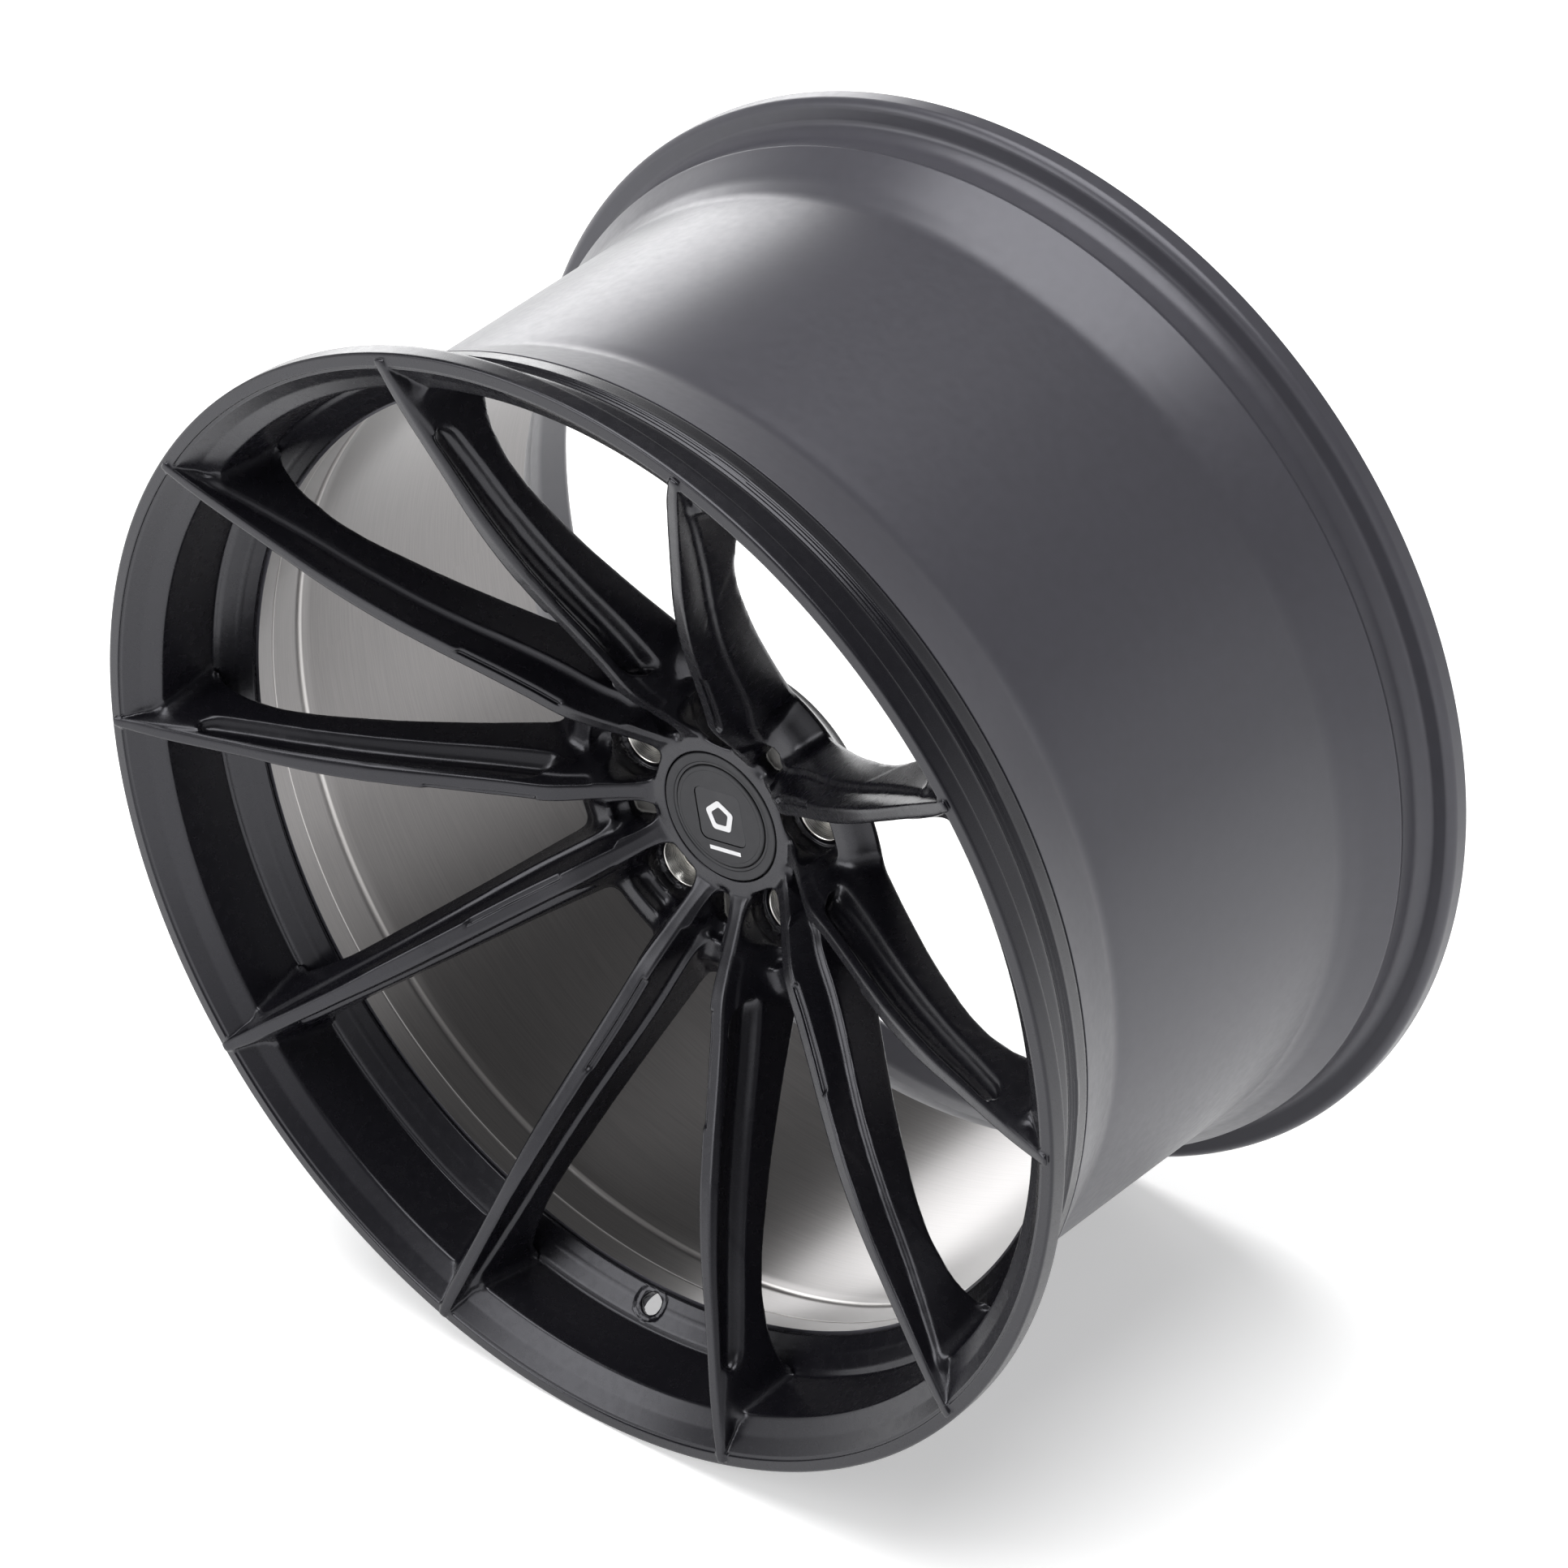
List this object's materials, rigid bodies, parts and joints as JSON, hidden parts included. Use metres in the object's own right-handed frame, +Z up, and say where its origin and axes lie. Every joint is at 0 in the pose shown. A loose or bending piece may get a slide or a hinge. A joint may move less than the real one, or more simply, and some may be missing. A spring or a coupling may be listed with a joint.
{
  "type": "wheel rim",
  "caption": "Deep dished forged wheel with slim spokes, satin black face, brushed inner barrel, bare metal lug seats and a snap-in centre cap.",
  "frame": {"origin": "on the axle line, midway between the front of the spoke tips and the face of the rear flange", "axes": "+Y along the axle towards the car, -Y out of the dished face, +Z up through one lug hole, +X to the right seen from the face"},
  "size_m": [0.5728, 0.3178, 0.5728],
  "materials": {
    "satin_black": "satin black powder coat over forged aluminium",
    "barrel_finish": "satin black outside, brushed and clear coated bare aluminium inside",
    "seat_metal": "bare turned metal",
    "cap_black": "satin black",
    "cap_disc_grey": "satin black",
    "badge_plate": "satin black",
    "emblem_white": "white"
  },
  "bodies": {
    "wheel": {"forged_centre": "satin_black", "barrel": "barrel_finish", "lug_seat_1": "seat_metal", "lug_seat_2": "seat_metal", "lug_seat_3": "seat_metal", "lug_seat_4": "seat_metal", "lug_seat_5": "seat_metal"},
    "cap": {"cap_body": "cap_black", "cap_disc": "cap_disc_grey", "cap_badge_plate": "badge_plate", "cap_emblem": "emblem_white"}
  },
  "joints": [
    {"name": "cap_pull", "type": "slide", "parent": "wheel", "child": "cap", "axis": [0, -1, 0], "range_m": [0, 0.05]}
  ]
}
